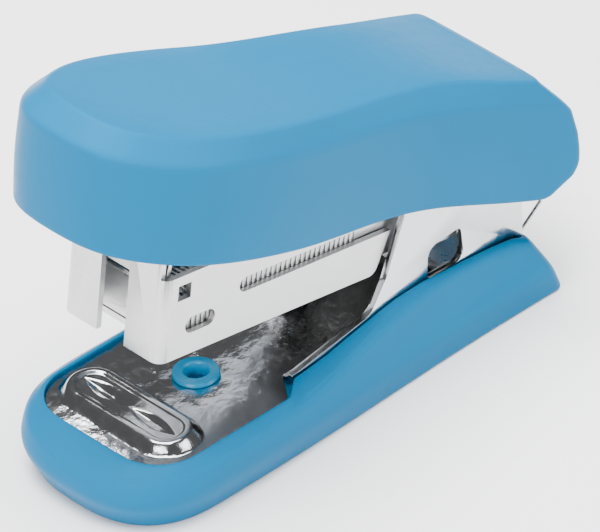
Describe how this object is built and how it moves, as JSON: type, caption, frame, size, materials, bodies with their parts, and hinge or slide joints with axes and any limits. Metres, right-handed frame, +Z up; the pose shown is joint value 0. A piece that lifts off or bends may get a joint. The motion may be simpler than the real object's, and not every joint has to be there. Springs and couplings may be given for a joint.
{
  "type": "stapler",
  "caption": "Mini desktop stapler: moulded blue cover and foot, plated steel magazine and base plate on one pivot pin, sprung to stand open.",
  "frame": {"origin": "middle of the foot's footprint, on the underside where it rests on the table", "axes": "+X towards the hinge at the rear, +Y across to the stapler's right-hand side seen from the nose, +Z up"},
  "size_m": [0.0642, 0.0258, 0.0482],
  "materials": {
    "blue_plastic": "satin gloss",
    "blue_enamel": "gloss enamel",
    "chrome_plate": "bright plated",
    "plated_steel": "satin nickel plate",
    "spring_steel": "drawn",
    "pin_steel": "bright zinc",
    "staple_wire": "galvanised",
    "dark_plastic": "matt"
  },
  "bodies": {
    "base": {"foot": "blue_plastic", "base_plate": "chrome_plate", "plate_eyelet": "blue_enamel", "pivot_pin": "pin_steel", "pin_clip": "pin_steel", "magazine_spring": "spring_steel", "spring_rivet": "pin_steel", "rear_wire": "spring_steel"},
    "magazine_body": {"magazine": "plated_steel", "staple_rail": "plated_steel", "guide_rod": "pin_steel", "staple_strip": "staple_wire", "pusher_spring": "spring_steel", "handle_spring": "spring_steel"},
    "pusher_body": {"pusher": "plated_steel"},
    "handle": {"top_cover": "blue_plastic", "lever": "plated_steel", "driver_blade": "spring_steel", "driver_rivets": "pin_steel", "cover_screws": "pin_steel", "pivot_bush": "dark_plastic"}
  },
  "joints": [
    {"name": "magazine_hinge", "type": "hinge", "parent": "base", "child": "magazine_body", "pos_m": [0.0245, 0, 0.02], "axis": [0, -1, 0], "range_deg": [0, 11.5], "stiffness_Nm_per_rad": 0.6, "springref_deg": -5.73, "deforming": ["magazine_spring"]},
    {"name": "handle_hinge", "type": "hinge", "parent": "magazine_body", "child": "handle", "pos_m": [0.0245, 0, 0.02], "axis": [0, -1, 0], "range_deg": [-90, 10], "stiffness_Nm_per_rad": 0.25, "springref_deg": -0.69, "deforming": ["handle_spring"]},
    {"name": "pusher_slide", "type": "slide", "parent": "magazine_body", "child": "pusher_body", "axis": [0.9879, 0, -0.1554], "range_m": [0, 0.0055], "stiffness_N_per_m": 150, "springref_m": -0.01, "deforming": ["pusher_spring"]}
  ]
}
